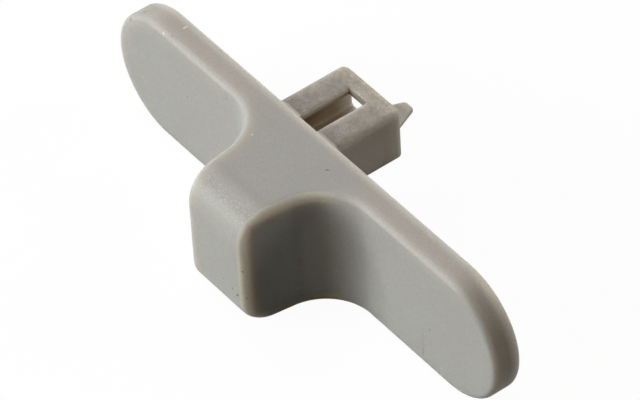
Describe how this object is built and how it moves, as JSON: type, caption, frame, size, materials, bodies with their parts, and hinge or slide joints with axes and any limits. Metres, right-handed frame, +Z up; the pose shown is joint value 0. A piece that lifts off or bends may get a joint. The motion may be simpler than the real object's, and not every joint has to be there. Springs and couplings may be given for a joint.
{
  "type": "tap t-handle",
  "caption": "Moulded T-handle for a tap: a round-ended finger bar with a deep boss in front and a hollow slotted shank with a pointed tongue behind.",
  "frame": {"origin": "centre of the bar's back face, midway between its tips and midway up its height", "axes": "+X along the bar to its right-hand tip seen from the front, +Y out of the bar's back along the shank, +Z up towards the slotted side of the shank"},
  "size_m": [0.08, 0.0349, 0.0198],
  "materials": {
    "grey_plastic": "fine satin moulding, grey, with lighter edges and a few specks"
  },
  "bodies": {
    "root": {"t_handle": "grey_plastic"}
  },
  "joints": []
}
